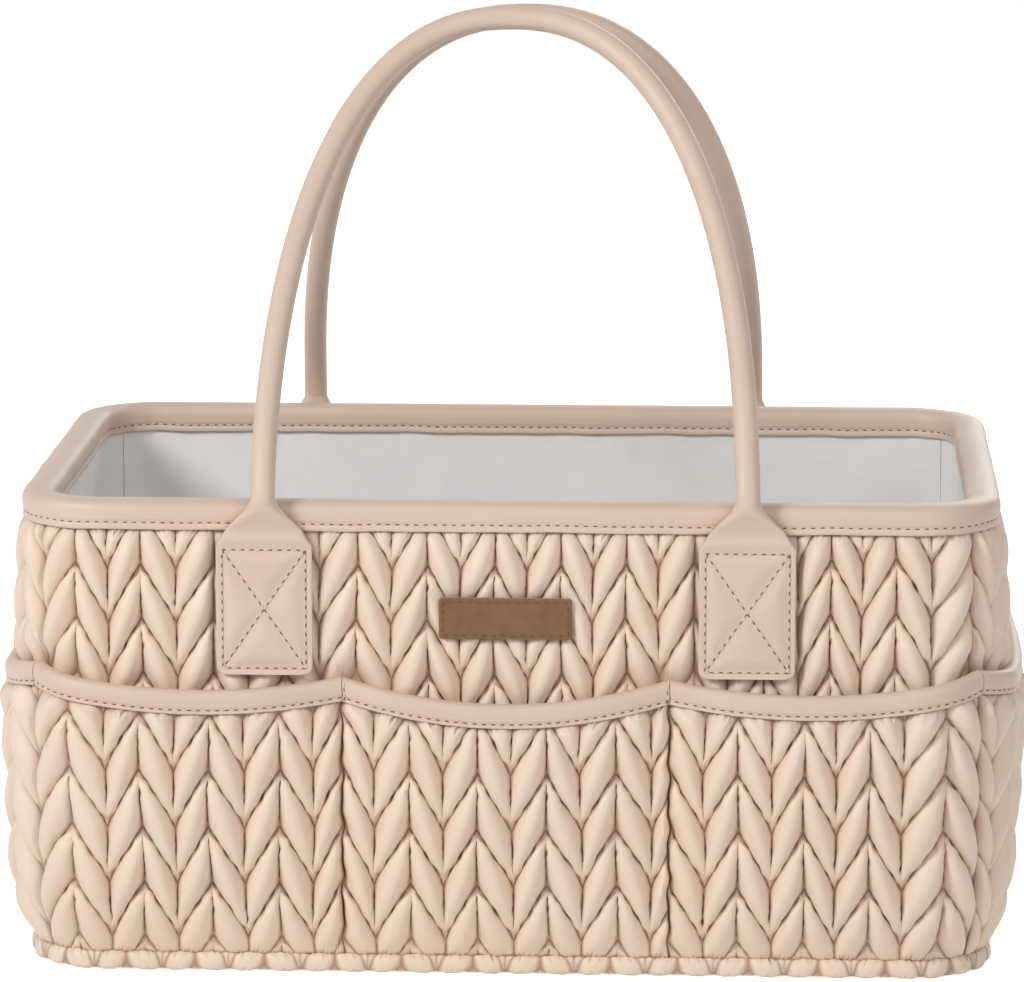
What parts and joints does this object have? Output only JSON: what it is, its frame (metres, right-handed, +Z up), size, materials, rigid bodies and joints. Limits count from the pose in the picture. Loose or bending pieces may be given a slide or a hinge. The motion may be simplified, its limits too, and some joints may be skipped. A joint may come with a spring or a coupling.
{
  "type": "quilted diaper caddy",
  "caption": "Open-topped rectangular caddy of leaf-quilted faux leather with outside pockets, a bound rim, arched carrying handles that swing and removable dividers.",
  "frame": {"origin": "on the floor, under the middle of the base", "axes": "+X along the long side to the right seen from the front, +Y from front to back, +Z up"},
  "size_m": [0.4318, 0.282, 0.3859],
  "materials": {
    "quilted_leather": "soft padded faux leather, satin",
    "smooth_leather": "smooth faux leather, satin",
    "suede": "matt faux suede",
    "lining_cloth": "fine woven polyester",
    "stiffener_sheet": "plain sheet, hidden",
    "hook_and_loop_tape": "hook-and-loop pile",
    "core_cord": "twisted cord, hidden"
  },
  "bodies": {
    "caddy": {"front_quilt": "quilted_leather", "front_stiffener": "stiffener_sheet", "front_lining": "lining_cloth", "back_quilt": "quilted_leather", "back_stiffener": "stiffener_sheet", "back_lining": "lining_cloth", "left_quilt": "quilted_leather", "left_stiffener": "stiffener_sheet", "left_lining": "lining_cloth", "right_quilt": "quilted_leather", "right_stiffener": "stiffener_sheet", "right_lining": "lining_cloth", "base_quilt": "quilted_leather", "base_board": "stiffener_sheet", "floor_lining": "lining_cloth", "rim_binding": "smooth_leather", "label": "suede", "front_pocket_left": "quilted_leather", "front_pocket_left_binding": "smooth_leather", "front_pocket_centre": "quilted_leather", "front_pocket_centre_binding": "smooth_leather", "front_pocket_right": "quilted_leather", "front_pocket_right_binding": "smooth_leather", "back_pocket_left": "quilted_leather", "back_pocket_left_binding": "smooth_leather", "back_pocket_centre": "quilted_leather", "back_pocket_centre_binding": "smooth_leather", "back_pocket_right": "quilted_leather", "back_pocket_right_binding": "smooth_leather", "left_pocket": "quilted_leather", "left_pocket_binding": "smooth_leather", "right_pocket": "quilted_leather", "right_pocket_binding": "smooth_leather", "front_handle_tab_left": "smooth_leather", "front_handle_tab_right": "smooth_leather", "back_handle_tab_left": "smooth_leather", "back_handle_tab_right": "smooth_leather", "front_left_loop_tape": "hook_and_loop_tape", "front_right_loop_tape": "hook_and_loop_tape", "back_left_loop_tape": "hook_and_loop_tape", "back_right_loop_tape": "hook_and_loop_tape"},
    "front_handle": {"front_handle_cover": "smooth_leather", "front_handle_core": "core_cord"},
    "back_handle": {"back_handle_cover": "smooth_leather", "back_handle_core": "core_cord"},
    "divider_left": {"divider_left_panel": "lining_cloth", "divider_left_front_hook_tape": "hook_and_loop_tape", "divider_left_back_hook_tape": "hook_and_loop_tape"},
    "divider_right": {"divider_right_panel": "lining_cloth", "divider_right_front_hook_tape": "hook_and_loop_tape", "divider_right_back_hook_tape": "hook_and_loop_tape"}
  },
  "joints": [
    {"name": "front_handle_swing", "type": "hinge", "parent": "caddy", "child": "front_handle", "pos_m": [0, -0.1305, 0.1965], "axis": [1, 0, 0], "range_deg": [0, 124.2]},
    {"name": "back_handle_swing", "type": "hinge", "parent": "caddy", "child": "back_handle", "pos_m": [0, 0.1305, 0.1965], "axis": [-1, 0, 0], "range_deg": [0, 124.2]},
    {"name": "divider_left_lift", "type": "slide", "parent": "caddy", "child": "divider_left", "axis": [0, 0, 1], "range_m": [0, 0.185]},
    {"name": "divider_right_lift", "type": "slide", "parent": "caddy", "child": "divider_right", "axis": [0, 0, 1], "range_m": [0, 0.185]}
  ]
}
